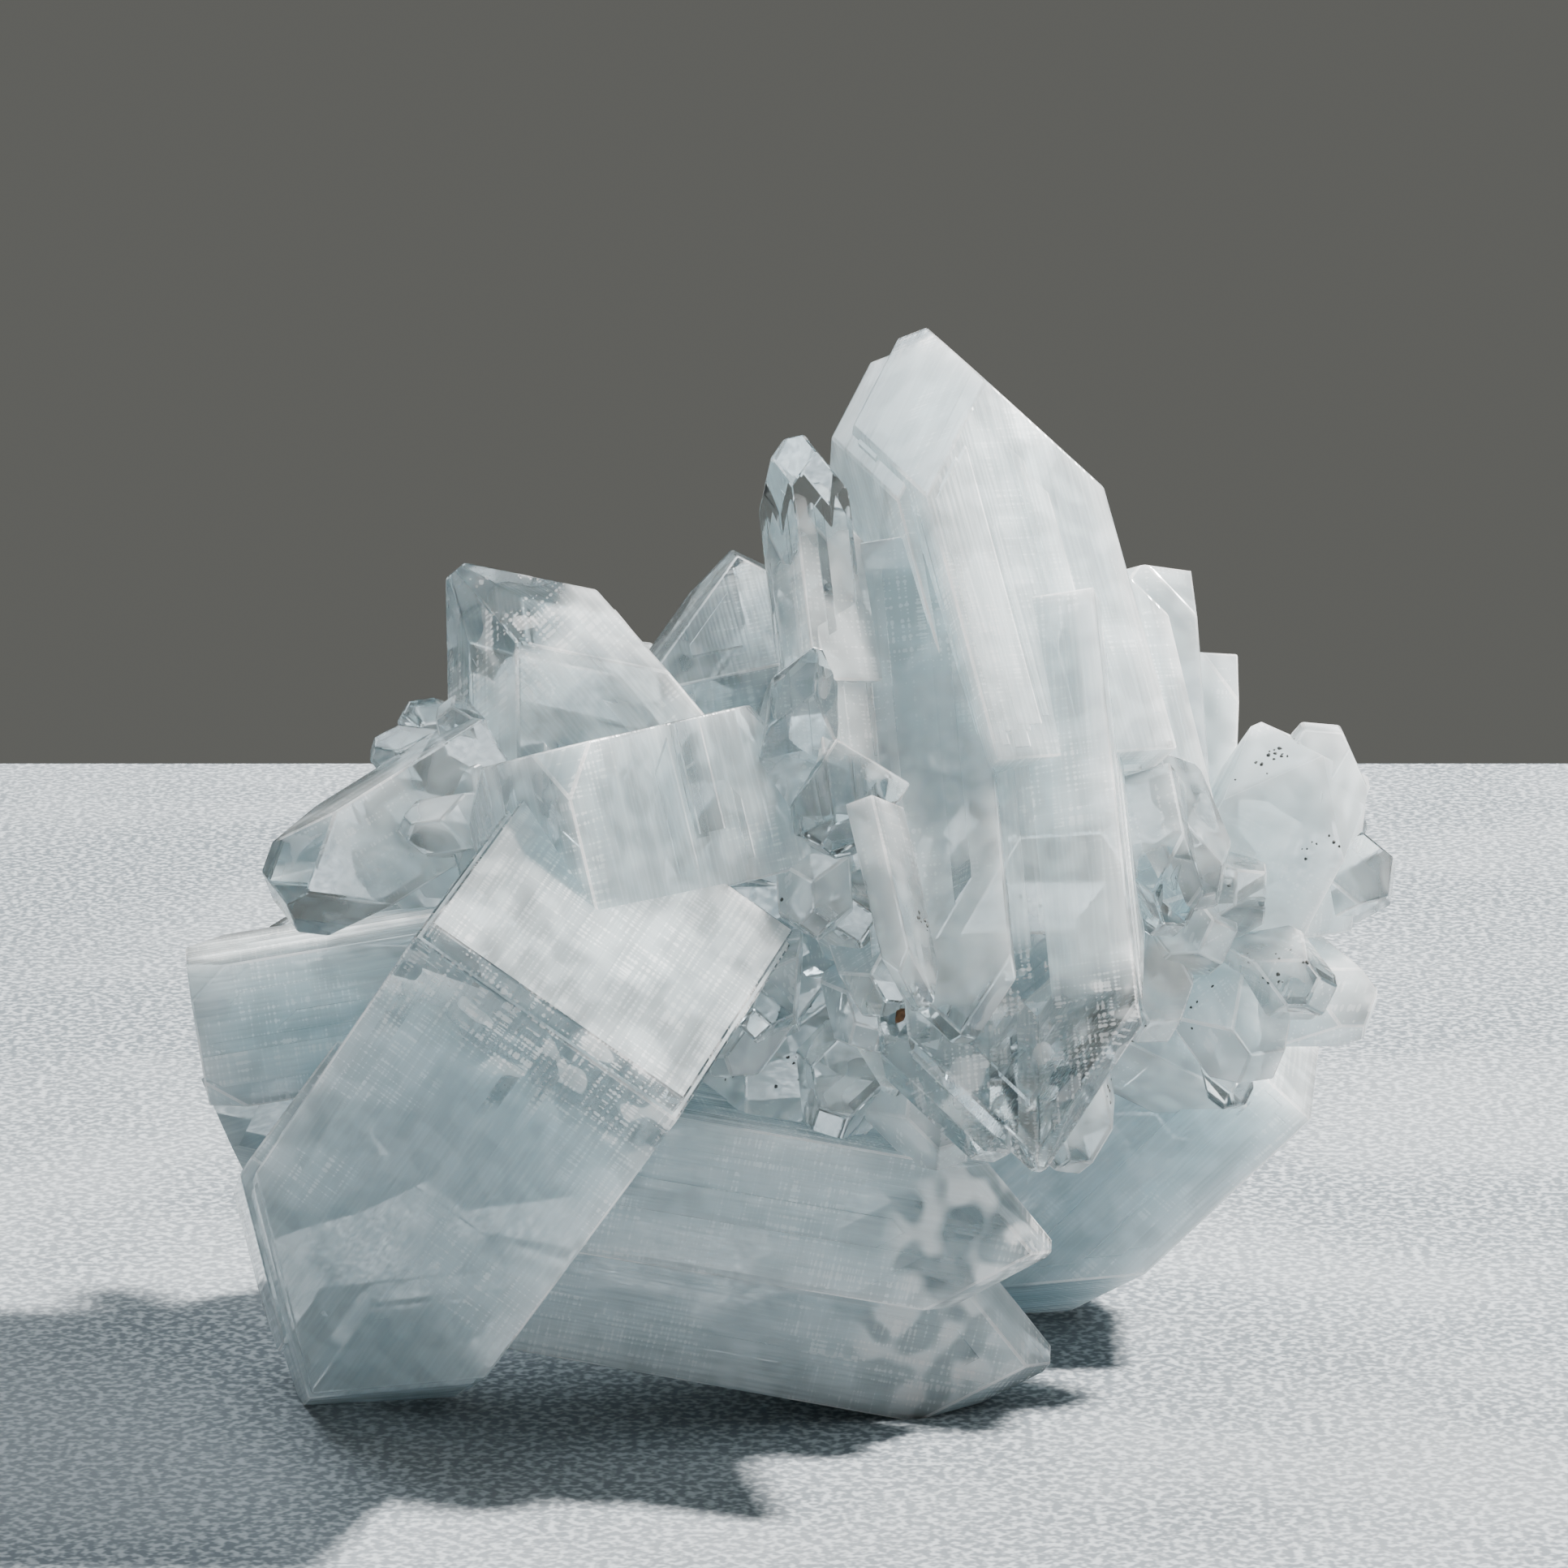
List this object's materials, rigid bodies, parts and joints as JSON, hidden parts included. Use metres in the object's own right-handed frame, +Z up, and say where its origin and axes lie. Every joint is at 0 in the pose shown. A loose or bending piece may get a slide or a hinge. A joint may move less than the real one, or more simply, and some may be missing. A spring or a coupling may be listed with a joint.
{
  "type": "apophyllite crystal cluster",
  "caption": "Cluster of intergrown square apophyllite prisms with pointed ends, pale icy blue-grey and translucent, resting on three of its crystals.",
  "frame": {"origin": "middle of the bounding box's base, on the surface that the cluster stands on", "axes": "+Z up, +X along the cluster's longest side, -Y towards the side with the two large front crystals"},
  "size_m": [0.0612, 0.0476, 0.0528],
  "materials": {
    "crystal": "glossy, clear to milky",
    "veil": "frosted internal cleavage",
    "speck": "matt mineral specks"
  },
  "bodies": {
    "root": {"apophyllite_cluster": "crystal"}
  },
  "joints": []
}
